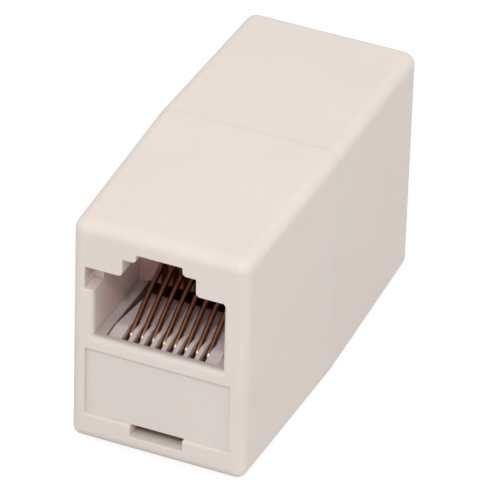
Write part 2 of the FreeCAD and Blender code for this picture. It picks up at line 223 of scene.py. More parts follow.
class ContactSettings(bpy.types.PropertyGroup):
    count: IntProperty(name="Contacts", description="Number of spring contacts in a socket", default=8, min=1)
    pitch: length("Pitch", "Distance from one contact to the next", 1.016)
    radius: length("Wire radius", "Radius of the contact wire", 0.25)
    leg_drop: length("Leg drop", "How far the lower legs lie under the axis", 1.62)
    bend_radius: length("Bend radius", "Radius of the front bend", 0.45)
    bend_depth: length("Bend depth", "Depth of the front bend", 2.95)
    rise: tilt("Rise", "Slope of the contacts, up towards the comb", 31.5)
    bow_depth: length("Bow depth", "Depth from which the contacts bow over", 5.0)
    bow_radius: length("Bow radius", "Radius of the contacts' bowed upper ends", 16.0)
    tip_reach: length("Tip reach", "How far the tips reach into the comb", 0.88)
    tail_step: length("Tail step", "Height between the two rows of tails", 2.0)
    tail_turn: tilt("Tail turn", "Slope of the stepped tails", 45)
    tail_corner: length("Tail corner", "Radius of the stepped tails' bends", 0.8)
    tail_straight: length("Tail straight", "Its straight length before the board", 1.44)
    stick_out: length("Stick out", "How far the tails reach past the board", 0.7)
    colour: tone("Colour", "The contacts' gold plating", (0.86, 0.55, 0.30))
    # Painted shade and painted reflection: the dark tone a wire's sides get in place of the dark socket they
    # reflect
    shadow: tone("Shadow", "The plating's deep tone at both sides of a wire", (0.20, 0.07, 0.02))
    roughness: portion("Roughness", "The contacts' finish", 0.2)


class InsideSettings(bpy.types.PropertyGroup):
    board_colour: tone("Board colour", "The link board's solder resist", (0.05, 0.17, 0.09))
    solder_colour: tone("Solder colour", "The solder joints", (0.66, 0.66, 0.64))


class StageSettings(bpy.types.PropertyGroup):
    floor_size: length("Floor size", "Width of the floor", 3000)
    floor_colour: tone("Floor colour", "The floor, as the object sees it", (0.6, 0.6, 0.6))
    key_power: amount("Key light", "Power of the key lamp", 0.40, unit="POWER")
    front_power: amount("Front light", "Power of the cool lamp in front", 0.3, unit="POWER")
    key_size: length("Key size", "Width of the key lamp", 40)
    side_power: amount("Side light", "Power of the lamp at the right", 1.0, unit="POWER")
    sky: amount("Sky", "Strength of the light from all round", 0.8, min=0)
    lens: amount("Lens", "The camera's focal length", 423.1, unit="CAMERA")


# Surfaces


class Surface:
    """Points and faces gathered piece by piece, as (x, depth, height) in millimetres."""

    def __init__(self):
        self.points, self.faces, self.count = [], [], 0

    def add(self, points, faces):
        """Adds points, one a row, and faces that number them from nought."""
        self.points.append(np.asarray(points, float).reshape(-1, 3))
        self.faces.append(np.asarray(faces, int) + self.count)
        self.count += len(self.points[-1])

    def grid(self, points):
        """Adds a grid of points, rows by columns, whose rows close on themselves."""
        rows, columns = points.shape[:2]
        number = np.arange(rows * columns).reshape(rows, columns)
        number = np.hstack((number, number[:, :1]))
        self.add(points, np.stack((number[:-1, :-1], number[1:, :-1], number[1:, 1:], number[:-1, 1:]),
                                  axis=-1).reshape(-1, 4))

    def fill(self, depth, *loops):
        """Adds the flat between an outer loop and the loops inside it, at one depth."""
        plan, triangles = triangulate(loops)
        kept = filled(loops[:1], *loops[1:])(plan[triangles].mean(1))
        self.add(at_depth(plan, depth), triangles[kept])


def at_depth(plan, depth):
    """Points in the plane of an end face, (x, height), taken to a depth."""
    return np.stack((plan[..., 0], np.broadcast_to(depth, plan.shape[:-1]), plan[..., 1]), axis=-1)


def triangulate(loops, extra_edges=()):
    """Triangles over all the loops' points that keep every loop's sides and the extra edges as sides."""
    points, edges = np.concatenate(loops), []
    start = 0
    for loop in loops:
        number = np.arange(len(loop)) + start
        edges.append(np.stack((number, np.roll(number, -1)), axis=1))
        start += len(loop)
    for edge in extra_edges:
        points = np.concatenate((points, edge))
        edges.append(np.array([[len(points) - 2, len(points) - 1]]))
    result = delaunay_2d_cdt([Vector(p) for p in points.tolist()], np.concatenate(edges).tolist(), [], 0,
                             SAME_PLACE)
    return np.array([tuple(p) for p in result[0]]), np.array([list(face) for face in result[2]])


def inside(loop, points):
    """Which points lie in a closed loop: a ray from them crosses its sides an odd number of times."""
    a, b = loop[None], np.roll(loop, -1, axis=0)[None]
    x, z = points[:, None, 0], points[:, None, 1]
    spans = (a[..., 1] > z) != (b[..., 1] > z)
    rise = np.where(spans, b[..., 1] - a[..., 1], 1)
    crossing = a[..., 0] + (z - a[..., 1]) * (b[..., 0] - a[..., 0]) / rise
    return (spans & (x < crossing)).sum(1) % 2 == 1


def box_outline(half_width, low, high):
    """The four corners of an upright rectangle about the middle plane, anticlockwise."""
    return np.array(((-half_width, low), (half_width, low), (half_width, high), (-half_width, high)), float)


def outline(corners):
    """A closed outline with an arc at each corner, its outward normals, and an edge radius at each point.

    corners holds (x, height, corner radius, edge radius of the side that follows), anticlockwise. An arc's
    points are its centre plus or minus the radius times a normal that turns from one side's to the next's.
    A point on a side, EASE away from each of its ends, lets the edge radius change there.
    """
    spots = np.array([c[:2] for c in corners], float)
    along = np.roll(spots, -1, axis=0) - spots
    size = np.linalg.norm(along, axis=1)
    along /= size[:, None]
    normal = np.stack((along[:, 1], -along[:, 0]), axis=1)
    points, normals, radii, trims = [], [], [], []
    count = len(corners)
    for i in range(count):
        turn = math.atan2(np.cross(along[i - 1], along[i]), along[i - 1] @ along[i])
        trims.append((turn, corners[i][2] * math.tan(abs(turn) / 2)))
    for i in range(count):
        turn, trim = trims[i]
        edge = min(corners[i - 1][3], corners[i][3])
        n0, n1 = normal[i - 1], normal[i]
        if corners[i][2] > 0 and abs(turn) > 1e-6:
            start = math.atan2(n0[1], n0[0])
            angle = start + turn * np.linspace(0, 1, EDGE_STEPS + 1)
            round_normal = np.stack((np.cos(angle), np.sin(angle)), axis=1)
            side = math.copysign(corners[i][2], turn)
            centre = spots[i] - along[i - 1] * trim - n0 * side
            points.append(centre + round_normal * side)
            normals.append(round_normal)
            radii.append(np.full(EDGE_STEPS + 1, edge))
        else:
            points.append(spots[i][None])
            normals.append(((n0 + n1) / (1 + n0 @ n1))[None])
            radii.append(np.array([edge]))
        ends = np.array((trim + EASE, size[i] - trims[(i + 1) % count][1] - EASE))
        if ends[1] - ends[0] > EASE:
            points.append(spots[i] + along[i] * ends[:, None])
            normals.append(np.tile(n1, (2, 1)))
            radii.append(np.full(2, corners[i][3]))
    return np.concatenate(points), np.concatenate(normals), np.concatenate(radii)


def rounded_rim(surface, line, outward, depth, end_depth):
    """Adds a rounded edge along an outline and returns the outline of its flat side.

    line holds the outline's points, normals and edge radii. At the angle a from nought to a quarter turn, a
    point lies the radius times (1 - sin a) beside the outline and the radius times (1 - cos a) behind the
    flat. outward is 1 where the solid surrounds the outline and -1 where it fills it. The wall then runs on
    to end_depth.
    """
    points, normals, radii = line
    angle = np.linspace(0, math.pi / 2, EDGE_STEPS + 1)[:, None]
    beside = radii * (1 - np.sin(angle))
    rows = at_depth(points + outward * normals * beside[..., None], depth + radii * (1 - np.cos(angle)))
    surface.grid(np.concatenate((rows, at_depth(points, end_depth)[None])))
    return rows[0][:, [0, 2]]


def filled(rooms, *voids):
    """A test for the points a layer fills: in one of its rooms, or anywhere if it has none, but no void."""
    def test(points):
        full = np.full(len(points), not rooms)
        for room in rooms:
            full |= inside(room, points)
        for void in voids:
            full &= ~inside(void, points)
        return full
    return test


def layered(surface, loops, extra_edges, layers, outside_solid):
    """Adds the walls and steps of a body that is stacked up from flat layers.

    layers holds (start, end, solid), where solid tells which plan points the layer fills, and outside_solid
    whether it also fills the space round all loops. All loops and edges share one set of plan triangles. A
    triangle side with the layer on one side only, carried from start to end, is a wall, except in the first
    layer, whose walls are rims. A triangle that only one of two neighbouring layers fills is a step.
    """
    plan, triangles = triangulate(loops, extra_edges)
    middle = plan[triangles].mean(1)
    side = np.stack((triangles, np.roll(triangles, -1, axis=1)), axis=-1).reshape(-1, 2)
    owner = np.repeat(np.arange(len(triangles)), 3)
    low_high = np.sort(side, axis=1)
    order = np.lexsort((low_high[:, 1], low_high[:, 0]))
    side, owner, low_high = side[order], owner[order], low_high[order]
    same = np.zeros(len(side), bool)
    same[:-1] = (low_high[1:] == low_high[:-1]).all(1)
    first = np.ones(len(side), bool)
    first[1:] = ~same[:-1]
    twin = np.where(same, np.roll(owner, -1), -1)[first]
    side, owner = side[first], owner[first]
    full = [np.append(solid(middle), outer) for (_, _, solid), outer in zip(layers, outside_solid)]
    full.append(np.zeros(len(full[0]), bool))
    for number, (start, end, _) in enumerate(layers):
        now, after = full[number:number + 2]
        if number:
            walls = side[now[owner] != now[twin]]
            points = np.concatenate((at_depth(plan, start), at_depth(plan, end)))
            far = walls + len(plan)
            surface.add(points, np.stack((walls[:, 0], walls[:, 1], far[:, 1], far[:, 0]), axis=1))
        steps = triangles[now[:-1] != after[:-1]]
        if len(steps):
            surface.add(at_depth(plan, end), steps)


def linked(name, data):
    """A new object in the scene."""
    thing = bpy.data.objects.new(name, data)
    bpy.context.scene.collection.objects.link(thing)
    return thing


def closed_mesh(name, points, faces, material):
    """A dressed mesh whose doubles are merged and whose faces point outwards, and how many edges are open."""
    mesh = bpy.data.meshes.new(name)
    mesh.from_pydata(points.tolist(), [], [face for block in faces for face in block.tolist()])
    mesh.materials.append(material)
    work = bmesh.new()
    work.from_mesh(mesh)
    bmesh.ops.remove_doubles(work, verts=work.verts, dist=WELD)
    bmesh.ops.dissolve_degenerate(work, edges=work.edges, dist=WELD)
    bmesh.ops.recalc_face_normals(work, faces=work.faces)
    open_edges = sum(not edge.is_manifold for edge in work.edges)
    work.to_mesh(mesh)
    work.free()
    return mesh, open_edges


def make_piece(name, surface, end, node, material, mark_sides=False):
    """Welds a surface into one closed mesh, places it at its end of the coupler and dresses it.

    name and node are given without the end that stands before them.
    With mark_sides, the attribute "side" holds how far the surface faces the right of its own end, -1 to 1.
    """
    name, node = end + "_" + name, end + "_" + node
    x, depth, height = np.concatenate(surface.points).T
    turned = 1 if end == "front" else -1
    points = np.stack((turned * x, turned * (depth - HALF_LENGTH), height + AXIS_Z), axis=1) * MM
    mesh, open_edges = closed_mesh(name, points, surface.faces, material)
    if open_edges:
        raise ValueError("%s isn't a closed mesh: %d open edges" % (name, open_edges))
    mesh.polygons.foreach_set("use_smooth", np.ones(len(mesh.polygons), bool))
    mesh.set_sharp_from_angle(angle=FLAT_ANGLE)
    if mark_sides:
        facing = np.empty(len(mesh.vertices) * 3, np.float32)
        mesh.vertex_normals.foreach_get("vector", facing)
        mesh.attributes.new("side", "FLOAT", "POINT").data.foreach_set("value", facing[::3] * turned)
    piece = linked(name, mesh)
    weighted = piece.modifiers.new("Weighted normals", "WEIGHTED_NORMAL")
    weighted.keep_sharp = True
    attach(piece, BODY)
    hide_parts(node)


def own_settings(group):
    """The properties that a group defines itself."""
    return [prop for prop in group.bl_rna.properties if prop.identifier not in ("rna_type", "name")]


def sizes(group):
    """A group's settings by name, its lengths in millimetres."""
    values = {}
    for prop in own_settings(group):
        value = getattr(group, prop.identifier)
        values[prop.identifier] = value / MM if getattr(prop, "unit", "") == "LENGTH" else value
    return SimpleNamespace(**values)


# Materials


class Nodes:
    """A material's or the world's node tree, written down as short lines."""

    def __init__(self, owner, output):
        self.owner = owner
        owner.use_nodes = True
        self.tree = owner.node_tree
        self.tree.nodes.clear()
        self.output = self.add(output)

    @classmethod
    def material(cls, name):
        """A material's empty tree, with the place on the piece that its patterns follow."""
        nodes = cls(bpy.data.materials.get(name) or bpy.data.materials.new(name), "ShaderNodeOutputMaterial")
        nodes.place = nodes.add("ShaderNodeTexCoord").outputs["Object"]
        return nodes

    def add(self, kind, inputs=None, **settings):
        """A node with its settings, and its inputs set to values or linked to outputs."""
        node = self.tree.nodes.new(kind)
        for key, value in settings.items():
            setattr(node, key, value)
        for key, value in (inputs or {}).items():
            if isinstance(value, bpy.types.NodeSocket):
                self.tree.links.new(value, node.inputs[key])
            else:
                node.inputs[key].default_value = value
        return node

    def noise(self, size, detail=2.0, roughness=0.5, stretch=(1, 1, 1)):
        """Soft noise whose features are about size millimetres wide."""
        spread = self.add("ShaderNodeMapping", {"Vector": self.place, "Scale": stretch}).outputs[0]
        return self.add("ShaderNodeTexNoise", {"Vector": spread, "Scale": 1 / (size * MM), "Detail": detail,
                                               "Roughness": roughness}).outputs["Fac"]

    def between(self, value, low, high, from_low=0.3, from_high=0.7):
        """A value carried from one range to another."""
        return self.add("ShaderNodeMapRange", {"Value": value, "From Min": from_low, "From Max": from_high,
                                               "To Min": low, "To Max": high}).outputs["Result"]

    def maths(self, operation, *values):
        return self.add("ShaderNodeMath", dict(enumerate(values)), operation=operation).outputs[0]

    def mixed(self, factor, first, second, blend="MIX"):
        """Two colours, mixed or multiplied."""
        return self.add("ShaderNodeMix", {0: factor, 6: first, 7: second},
                        data_type="RGBA", blend_type=blend).outputs[2]

    def tinted(self, value, colour, low, high):
        """A colour that goes with the value from low times to high times itself."""
        colour = np.array(colour)
        return self.mixed(self.between(value, 0, 1), (*(colour * low), 1), (*np.minimum(colour * high, 1), 1))

    def painted_shade(self, colour, shade_tone, depths, widths, levels):
        """Painted shade: a colour multiplied by a darker tone inside the sockets, at places given in
        millimetres.
        """
        x, y, z = self.add("ShaderNodeSeparateXYZ", {0: self.place}).outputs[:]
        first, second = ((HALF_LENGTH - depth) * MM for depth in depths)
        share = self.between(self.maths("ABSOLUTE", y), 0, 1, first, second)
        low, high = levels
        for value, start, end in ((self.maths("ABSOLUTE", x), widths[1], widths[0]),
                                  (z, AXIS_Z + low - SOFT_EDGE, AXIS_Z + low + SOFT_EDGE),
                                  (z, AXIS_Z + high + SOFT_EDGE, AXIS_Z + high - SOFT_EDGE)):
            share = self.maths("MULTIPLY", share, self.between(value, 0, 1, start * MM, end * MM))
        return self.mixed(share, colour, (*shade_tone, 1), "MULTIPLY")

    def bump(self, height, distance, strength=1.0):
        """A surface normal that follows a height, whose full range is distance millimetres."""
        return self.add("ShaderNodeBump", {"Height": height, "Distance": distance * MM,
                                           "Strength": strength}).outputs["Normal"]

    def finish(self, kind, inputs):
        """Shows a shader with its inputs on the surface, and gives the tree's owner."""
        self.tree.links.new(self.add(kind, inputs).outputs[0], self.output.inputs["Surface"])
        return self.owner


# Painted shade inside the sockets, reddened like light bounced off the gold contacts: tone, depth range, half
# width range and height range. From the first depth to the second, from the second half width in to the
# first, and between the heights, the colour goes over to its product with the tone.
HOUSING_PAINTED_SHADE = (((0.95, 0.83, 0.86), (0.6, 3.0), (6.9, 7.4), (0.1, 9.4)),
                ((0.5, 0.38, 0.36), (0.7, 1.7), (6.9, 7.4), (-9.7, -8.5)),
                ((0.42, 0.27, 0.24), (1.1, 3.0), (5.3, 5.6), (-1.7, -0.4)),
                ((0.74, 0.72, 0.73), (0.0, 0.5), (5.9, 6.2), (-0.7, 0.1)),
                ((0.82, 0.68, 0.68), (0.1, 1.2), (6.9, 7.4), (5.2, 6.9)))
# Painted shade and painted reddish reflection of the gold round the comb and the contacts
CARRIER_PAINTED_SHADE = (((0.85, 0.60, 0.60), (8.5, 9.5), (6.9, 7.4), (-2.5, 9.4)),
                ((0.50, 0.26, 0.18), (8.5, 9.5), (3.9, 4.4), (-2.5, 9.4)),
                ((0.42, 0.27, 0.24), (1.1, 3.0), (5.3, 5.6), (-3.0, -0.4)))
# Painted shade down the tray's sides and channels
TRAY_PAINTED_SHADE = (((0.50, 0.36, 0.30), (0.5, 0.7), (4.7, 4.9), (-3.0, -0.85)),)


def plastic(name, look, shade_places):
    """Moulded satin plastic: tone drifts a little over millimetres, painted shade darkens it inside the
    sockets, and a fine grain breaks up the gloss.
    """
    nodes, roughness = Nodes.material(name), look.roughness
    base = nodes.tinted(nodes.noise(7.0, 3.0), look.colour, 0.985, 1.015)
    # Painted shade, reddened like light bounced off the gold, at the listed places inside the sockets
    for place in shade_places:
        base = nodes.painted_shade(base, *place)
    grain = nodes.noise(0.16, 4.0, 0.6)
    height = nodes.maths("ADD", grain, nodes.noise(3.2, stretch=(1, 0.35, 1)))
    return nodes.finish("ShaderNodeBsdfPrincipled", {
        "Base Color": base, "Roughness": nodes.between(grain, roughness - 0.04, roughness + 0.04),
        "IOR": 1.46, "Subsurface Weight": 0.12, "Subsurface Radius": (1.0, 0.45, 0.32),
        "Subsurface Scale": 1.5 * MM, "Normal": nodes.bump(height, 0.012, 0.35)})


def gold_wire(name, look):
    """Gold-plated wire: drawing lines run along it, its tone drifts, and painted shade and painted reflection
    darken both its sides.
    """
    nodes = Nodes.material(name)
    colour, shadow, roughness = np.array(look.colour), np.array(look.shadow), look.roughness
    # Painted shade and reflection by facing: full gold where the wire faces up or down, dark towards its left
    # and right
    side = nodes.add("ShaderNodeAttribute", attribute_name="side").outputs["Fac"]
    ramp = nodes.add("ShaderNodeValToRGB", {"Fac": nodes.between(side, 0, 1, -1, 1)})
    stops = ramp.color_ramp.elements
    for place, share in ((0.30, 0.15), (0.52, 1.0), (0.72, 0.55), (0.88, 0.0)):
        stop = stops.new(place)
        stop.color = (*(shadow + (colour - shadow) * share), 1)
    stops[0].color = stops[-1].color = (*(shadow + (colour - shadow) * 0.1), 1)
    tarnish = nodes.between(nodes.noise(1.1, 3.0), 0.85, 1.1)
    lines = nodes.noise(0.05, stretch=(1, 0.08, 0.08))
    return nodes.finish("ShaderNodeBsdfPrincipled", {
        "Base Color": nodes.mixed(1.0, ramp.outputs["Color"], tarnish, "MULTIPLY"), "Metallic": 1.0,
        "Roughness": nodes.between(lines, roughness - 0.05, roughness + 0.08),
        "Normal": nodes.bump(lines, 0.004, 0.3)})


def solder_resist(name, colour):
    """A board's solder resist: the weave under it shows as a faint check."""
    nodes = Nodes.material(name)
    weave = nodes.add("ShaderNodeTexChecker", {"Vector": nodes.place,
                                               "Scale": 1 / (0.45 * MM)}).outputs["Fac"]
    cloud = nodes.noise(1.5)
    return nodes.finish("ShaderNodeBsdfPrincipled", {
        "Base Color": nodes.tinted(cloud, colour, 0.9, 1.15), "Roughness": nodes.between(cloud, 0.26, 0.36),
        "Normal": nodes.bump(weave, 0.006, 0.2)})


def tin(name, colour):
    """Solder: grey metal with a fine frosted grain."""
    nodes = Nodes.material(name)
    frost = nodes.noise(0.12, 3.0)
    return nodes.finish("ShaderNodeBsdfPrincipled", {
        "Base Color": nodes.tinted(frost, colour, 0.9, 1.1), "Metallic": 1.0,
        "Roughness": nodes.between(frost, 0.28, 0.45), "Normal": nodes.bump(frost, 0.01, 0.4)})


# Pieces


def contact_places(contacts):
    """The contacts' places across the socket."""
    return (np.arange(contacts.count) - (contacts.count - 1) / 2) * contacts.pitch


def measures(h):
    """Half widths and heights of the end face's features, from the coupler's axis."""
    floor = -h.socket_floor
    ceiling = floor + h.socket_height
    latch = ceiling + h.latch_height
    window_top = floor - h.sill_height
    window_bottom = window_top - h.window_height
    end_half = MID_HALF[1] - HALF_LENGTH * math.tan(h.draft)
    return SimpleNamespace(
        half=h.socket_width / 2, strip=h.socket_width / 2 - h.strip_width, cavity=h.window_width / 2,
        floor=floor, ceiling=ceiling, key_floor=ceiling - h.key_height, latch=latch,
        roof=latch + h.latch_top_height, window_top=window_top, window_bottom=window_bottom,
        cavity_floor=window_bottom - h.notch_height, cavity_top=end_half - h.top_wall)


def socket_outline(h, m):
    """The plug socket with its stepped latch channel and its key slot, as an opening's outline.

    Its right edge is rounded a fifth less than its left one.
    """
    latch, top, key = h.latch_width / 2, h.latch_top_width / 2, m.half + h.key_width
    big, small, step, sharp = h.mouth_round, h.edge_round, h.latch_corner, SHARP_CORNER
    return outline([
        (-m.half, m.floor, sharp, big), (-m.strip, m.floor, 0, big), (m.strip, m.floor, 0, big),
        (m.half, m.floor, sharp, big * 0.8), (m.half, m.ceiling, sharp, small),
        (latch, m.ceiling, step, small), (latch, m.latch, sharp, small),
        (top, m.latch, step, small), (top, m.roof, sharp, small), (-top, m.roof, sharp, small),
        (-top, m.latch, step, small), (-latch, m.latch, sharp, small), (-latch, m.ceiling, step, small),
        (-m.half, m.ceiling, 0, small), (-m.cavity, m.ceiling, 0, small), (-key, m.ceiling, 0, small),
        (-key, m.key_floor, 0, small), (-m.cavity, m.key_floor, 0, small), (-m.half, m.key_floor, 0, big)])


def window_outline(h, m):
    """The window with the release notch under it, as an opening's outline."""
    half, notch = m.cavity, h.notch_width / 2
    top, bottom, foot, corner = m.window_top, m.window_bottom, m.cavity_floor, WINDOW_CORNER
    return outline([(x, height, radius, h.window_round) for x, height, radius in (
        (-half, bottom, corner), (-notch, bottom, corner), (-notch, foot, 0), (notch, foot, 0),
        (notch, bottom, corner), (half, bottom, corner), (half, top, corner), (m.strip, top, 0),
        (-m.strip, top, 0), (-half, top, corner))])


def skin_rows(h):
    """The housing's outside: rounded rectangles, one a row, from the end face to mid-length.

    Over the rounded end, at the angle a, a row is inset by the radius times (1 - sin a) and lies the radius
    times (1 - cos a) deep. From there it grows with the draft, and at the joint it is rounded in once more.
    """
    slope, radius, joint = math.tan(h.draft), h.outer_round, h.joint_round
    last = HALF_LENGTH - h.joint_gap / 2
    angle = np.linspace(0, math.pi / 2, END_STEPS + 1)
    joint_angle = angle[::4]
    depth = np.concatenate((radius * (1 - np.cos(angle)),
                            np.linspace(radius, last - joint, RUN_STEPS + 1)[1:],
                            last - joint * (1 - np.sin(joint_angle))[1:]))
    inset = np.concatenate((radius * (1 - np.sin(angle)), np.zeros(RUN_STEPS),
                            joint * (1 - np.cos(joint_angle))[1:]))
    end_half = MID_HALF - HALF_LENGTH * slope
    half = end_half + slope * depth[:, None] - inset[:, None]
    upper, lower = (np.maximum(full - inset, LEAST_ROUND) for full in (h.corner_round, h.foot_round))
    turn = np.linspace(0, math.pi / 2, CORNER_STEPS + 1)
    quarter = np.stack((np.cos(turn), np.sin(turn)), axis=1)
    rows = []
    for number, (sx, sz) in enumerate(((1, 1), (-1, 1), (-1, -1), (1, -1))):
        arc = quarter if number % 2 == 0 else quarter[::-1]
        sign, corner = np.array((sx, sz)), upper if sz > 0 else lower
        rows.append((half - corner[:, None])[:, None] * sign + corner[:, None, None] * arc * sign)
    plan = np.concatenate(rows, axis=1)
    return at_depth(plan, np.repeat(depth[:, None], plan.shape[1], axis=1))


def half_shell(h, end):
    """One end of the housing: its skin, the end face with its two openings, and the cavity inside."""
    m = measures(h)
    surface = Surface()
    rows = skin_rows(h)
    surface.grid(rows)
    openings = socket_outline(h, m), window_outline(h, m)
    socket, window = (line[0] for line in openings)
    rims = [rounded_rim(surface, line, 1, 0, h.sill_depth) for line in openings]
    surface.fill(0, rows[0][:, [0, 2]], *rims)

    low_room = box_outline(m.cavity, m.cavity_floor, m.window_top)
    tray_room = box_outline(m.strip, m.window_top, m.floor)
    full_room = box_outline(m.cavity, m.cavity_floor, m.cavity_top)
    lap = h.lap_wall if end == "front" else h.lap_wall + h.lap_gap
    lap_line = box_outline(m.cavity + lap, m.cavity_floor - lap, m.cavity_top + lap)
    key_side = np.array(((-m.half, m.key_floor), (-m.half, m.ceiling)))

    def keyless(p):
        """The layer behind the key slot: as before it, and filled where the slot was."""
        return filled((), socket, low_room, tray_room)(p) | ((p[:, 0] < -m.half) & (p[:, 1] > m.key_floor))

    last = HALF_LENGTH - h.joint_gap / 2
    layers = [(0, h.sill_depth, filled((), socket, window)),
              (h.sill_depth, h.face_wall, filled((), socket, window, tray_room)),
              (h.face_wall, h.key_depth, filled((), socket, low_room, tray_room)),
              (h.key_depth, h.socket_depth, keyless)]
    if end == "front":
        layers += [(h.socket_depth, last, filled((), full_room)),
                   (last, HALF_LENGTH + h.lap_length, filled((), full_room))]
    else:
        lap_start = HALF_LENGTH - h.lap_length - h.lap_gap
        layers += [(h.socket_depth, lap_start, filled((), full_room)),
                   (lap_start, last, filled((), lap_line))]
    layered(surface, [socket, window, low_room, tray_room, full_room, lap_line], [key_side],
            layers, [True] * 5 + [end == "rear"])
    surface.fill(last, rows[-1][:, [0, 2]], lap_line)
    return surface


def contact_carrier(h, c, w):
    """The moulded base that holds one set of contacts: panel, feet, tray pocket and comb wall."""
    m = measures(h)
    surface = Surface()
    wide, inner = m.cavity - FIT_GAP, m.cavity - FIT_GAP - c.side
    shoulder, bottom = m.window_top - FIT_GAP, m.window_bottom + FIT_GAP
    foot = m.cavity_floor + FIT_GAP
    comb_front = h.socket_depth + FIT_GAP
    comb_rear = comb_front + c.comb_thickness
    rear = comb_rear + c.ledge
    feet_front = h.face_wall + FIT_GAP
    panel_rear = c.recess + c.panel_thickness
    strip, seat, teeth = m.strip, shoulder - c.pocket_depth, m.floor + c.comb_lift
    pocket = box_outline(strip, seat, shoulder)
    feet = box_outline(wide, foot, bottom)
    body = np.array(((-wide, bottom), (-inner, bottom), (inner, bottom), (wide, bottom),
                     (wide, shoulder), (strip, shoulder), (-strip, shoulder), (-wide, shoulder)))
    notch_room = box_outline(inner, foot, bottom)
    hollow = box_outline(inner, bottom, shoulder - c.deck)
    comb = box_outline(wide, shoulder, m.cavity_top - c.comb_top_gap)
    way_out = box_outline(strip, seat, teeth)
    slots = [box_outline(c.slot_width / 2, teeth, wire_line(h, w).tip[1] + c.slot_headroom) + (x, 0)
             for x in contact_places(w)]

    panel = box_outline(m.cavity - c.panel_gap, m.window_bottom + c.panel_gap, m.window_top - c.panel_gap)
    line = outline([(x, height, c.panel_corner, c.panel_round) for x, height in panel])
    surface.fill(c.recess, rounded_rim(surface, line, -1, c.recess, panel_rear))
    surface.fill(panel_rear, line[0], body)

    slot_rear = comb_front + c.slot_depth
    low, high = [body, feet], [body, feet, comb]
    layers = [(c.recess, panel_rear, filled([body])),
              (panel_rear, feet_front, filled([body], pocket)),
              (feet_front, feet_front + c.wall, filled(low, pocket, notch_room)),
              (feet_front + c.wall, comb_front, filled(low, pocket, notch_room, hollow)),
              (comb_front, slot_rear, filled(high, way_out, notch_room, hollow, *slots)),
              (slot_rear, comb_rear, filled(high, way_out, notch_room, hollow)),
              (comb_rear, rear - c.wall, filled(low, way_out, notch_room, hollow)),
              (rear - c.wall, rear, filled(low, way_out, notch_room))]
    layered(surface, [body, feet, pocket, notch_room, hollow, comb, way_out, *slots], [],
            layers, [False] * len(layers))
    return surface


def wire_tray(h, c, t, w):
    """The slab under the contacts, with a channel for each wire's leg.

    A row is the tray's cross-section at one depth, a closed line whose points move up and down, and its two
    ends inwards: the top follows the tray's slope and its sloped front, and the channels' floors step
    down behind their shallow front ends. A channel's upper edges are quarter circles. Behind the depth where
    the channels close, the line runs straight over them, and each goes on as a rectangle carried to the rear.
    The kinds of points are 0 underside, 1 top, 2 a channel's upper and 3 its lower corners.
    """
    m = measures(h)
    wire = wire_line(h, w)
    half = m.strip - FIT_GAP
    front, rear = h.sill_depth + FIT_GAP, h.socket_depth + FIT_GAP - t.rear_gap
    nose_rear = c.recess + c.panel_thickness + FIT_GAP
    seat = m.window_top - FIT_GAP - c.pocket_depth
    floor = wire.leg - w.radius
    roof = wire.leg + w.radius + t.groove_head
    start, close = wire.nose[0] - w.radius - FIT_GAP, t.groove_open
    sloped = np.linspace(front, front + t.edge_length, EDGE_STEPS + 1)
    ahead = np.concatenate((sloped, [nose_rear, nose_rear, start, start, *CHANNEL_ROWS, close]))
    ahead_bottom = np.where(ahead < nose_rear, m.window_top, seat)
    ahead_floor = np.where(ahead < start, floor + t.groove_step, floor)
    nose_step, start_step = len(sloped), len(sloped) + 2
    ahead_bottom[nose_step], ahead_floor[start_step] = m.window_top, floor + t.groove_step
    order = np.argsort(ahead, kind="stable")
    behind = np.concatenate(([close], np.linspace(close, rear, REAR_ROWS)))

    arc = np.linspace(0, math.pi / 2, LIP_POINTS)
    side, lip = t.groove_width / 2, t.groove_round
    beside, down = side + lip * (1 - np.sin(arc)), lip * (1 - np.cos(arc))
    across, kind, dip = [-half, half, half], [0, 0, 1], [0, 0, 0]
    for x in contact_places(w)[::-1]:
        across += [*(x + beside), x + side, x + side, x - side, x - side, *(x - beside[::-1])]
        kind += [1] * LIP_POINTS + [2, 3, 3, 2] + [1] * LIP_POINTS
        dip += [*down, 0, 0, 0, 0, *down[::-1]]
    across, kind, dip = (np.array(v + [end]) for v, end in ((across, -half), (kind, 1), (dip, 0)))

    def rows(depth, bottom, low, high, open_top):
        """The cross-sections at some depths, with the heights of their undersides and channels."""
        top = (m.floor - t.edge_drop * (1 - np.clip((depth - front) / t.edge_length, 0, 1))
               - np.clip(depth - front - t.edge_length, 0, None) * math.tan(t.fall))[:, None]
        height = np.select((kind == 0, kind == 1, kind == 2),
                           (bottom[:, None], top - dip * open_top[:, None], high(top)), low(top))
        drawn_in = t.side_taper * ((depth - front) / (rear - front))[:, None]
        x = across - np.where(abs(across) == half, np.sign(across), 0) * drawn_in
        return at_depth(np.stack((x, height), axis=-1), depth[:, None])

    surface = Surface()
    depth, bottom, groove = ahead[order], ahead_bottom[order], ahead_floor[order]
    open_rows = rows(depth, bottom, lambda top: groove[:, None], lambda top: np.full_like(top, roof),
                     np.ones(len(depth)))
    surface.grid(open_rows)
    surface.fill(front, open_rows[0][:, [0, 2]])
    first = np.arange(len(behind))[:, None] == 0
    closed_rows = rows(behind, np.full(len(behind), seat), lambda top: np.where(first, roof, top),
                       lambda top: np.where(first, roof, top), first[:, 0].astype(float))
    surface.grid(closed_rows)
    holes = []
    for x in contact_places(w):
        hole = box_outline(side, floor, roof) + (x, 0)
        surface.grid(at_depth(np.stack((hole, hole)), np.array((close, rear))[:, None]))
        holes.append(hole)
    surface.fill(rear, closed_rows[-1][:, [0, 2]], *holes)
    return surface


